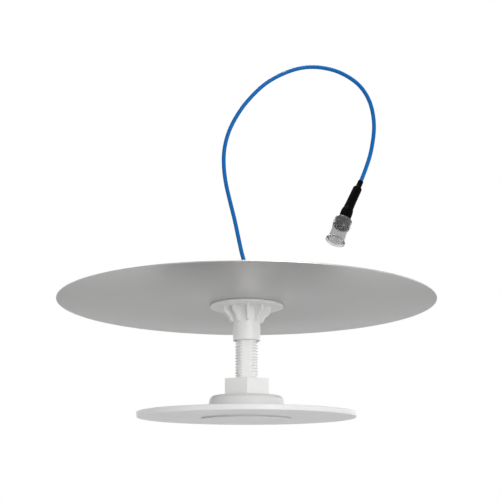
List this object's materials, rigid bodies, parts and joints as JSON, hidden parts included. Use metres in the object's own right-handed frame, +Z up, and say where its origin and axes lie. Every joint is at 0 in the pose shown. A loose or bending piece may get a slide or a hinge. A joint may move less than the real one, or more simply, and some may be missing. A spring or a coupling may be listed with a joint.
{
  "type": "ceiling-mount cellular antenna",
  "caption": "Thin disc ceiling antenna on a threaded stem, with a clamping nut, a large round ground reflector on a ribbed flange nut, and a looped coaxial pigtail ending in a capped jack.",
  "frame": {"origin": "on the stem's axis in the ceiling plane, which is the flat rim on top of the plinth", "axes": "+Z up the stem, away from the radome and through the ceiling; the pigtail's loop rises in the XZ plane, and its jack is towards +X and leans to the front, -Y"},
  "size_m": [0.3682, 0.3682, 0.3702],
  "materials": {
    "white_asa": "moulded, very fine matt texture, UV stable white",
    "matt_white": "moulded, matt",
    "white_nylon": "moulded, satin",
    "grey_nylon": "moulded, satin",
    "acrylic_tape": "grey foam tape",
    "laminate": "bare glass-fibre laminate",
    "copper_foil": "bare copper",
    "white_foam": "closed-cell foam",
    "brass_parts": "turned",
    "steel_parts": "zinc plated",
    "aluminium_sheet": "mill finish",
    "reflector_aluminium": "fine satin, clear lacquered",
    "ptfe": "turned, waxy",
    "solder": "bright solder",
    "black_rubber": "moulded rubber",
    "blue_jacket": "smooth fluoropolymer jacket",
    "black_shrink": "shrunk polyolefin, satin",
    "nickel": "nickel plated brass, slightly dull",
    "gold_plate": "gold plated",
    "clear_cap": "soft translucent polyethylene"
  },
  "bodies": {
    "antenna": {"front_cover": "white_asa", "centre_disc": "matt_white", "back_cover": "white_asa", "plinth": "white_asa", "bond_tape": "acrylic_tape", "antenna_pcb": "laminate", "radiator": "copper_foil", "foam_pad": "white_foam", "standoffs": "brass_parts", "standoff_screws": "steel_parts", "ground_plate": "aluminium_sheet", "feed_bead": "ptfe", "feed_pin": "copper_foil", "solder_collar": "solder", "pull_stop": "steel_parts", "stem": "white_nylon", "stem_gasket": "black_rubber", "foot_screws": "steel_parts", "cable_bush": "black_rubber", "inner_cable": "blue_jacket", "feed_cable": "blue_jacket", "heat_shrink": "black_shrink", "crimp_ferrule": "nickel", "connector_body": "nickel", "connector_insulator": "ptfe", "connector_contact": "gold_plate"},
    "clamp_washer": {"seat_washer": "grey_nylon"},
    "clamp_nut": {"tile_nut": "white_nylon"},
    "reflector_stack": {"reflector": "reflector_aluminium", "reflector_washer": "grey_nylon"},
    "support_nut": {"flange_nut": "white_nylon"},
    "lock_nut": {"jam_nut": "white_nylon"},
    "cap": {"dust_cap": "clear_cap"}
  },
  "joints": [
    {"name": "clamp_washer_lift", "type": "slide", "parent": "antenna", "child": "clamp_washer", "axis": [0, 0, 1], "range_m": [0, 0.01693]},
    {"name": "clamp_nut_turn", "type": "hinge", "parent": "clamp_washer", "child": "clamp_nut", "pos_m": [0, 0, 0.0085], "axis": [0, 0, 1], "range_deg": [0, 2160]},
    {"name": "reflector_lift", "type": "slide", "parent": "antenna", "child": "reflector_stack", "axis": [0, 0, 1], "range_m": [-0.01693, 0.00846]},
    {"name": "support_nut_turn", "type": "hinge", "parent": "reflector_stack", "child": "support_nut", "pos_m": [0, 0, 0.07], "axis": [0, 0, 1], "range_deg": [-2160, 1080]},
    {"name": "lock_nut_turn", "type": "hinge", "parent": "reflector_stack", "child": "lock_nut", "pos_m": [0, 0, 0.095], "axis": [0, 0, 1], "range_deg": [-2160, 1080]},
    {"name": "cap_pull", "type": "slide", "parent": "antenna", "child": "cap", "axis": [-0.3664, -0.2079, -0.9069], "range_m": [0, 0.032]}
  ],
  "couplings": [
    {"joint": "clamp_washer_lift", "follows": "clamp_nut_turn", "m_per_rad": 0.00044914},
    {"joint": "support_nut_turn", "follows": "reflector_lift", "rad_per_m": 2226.5},
    {"joint": "lock_nut_turn", "follows": "reflector_lift", "rad_per_m": 2226.5}
  ]
}
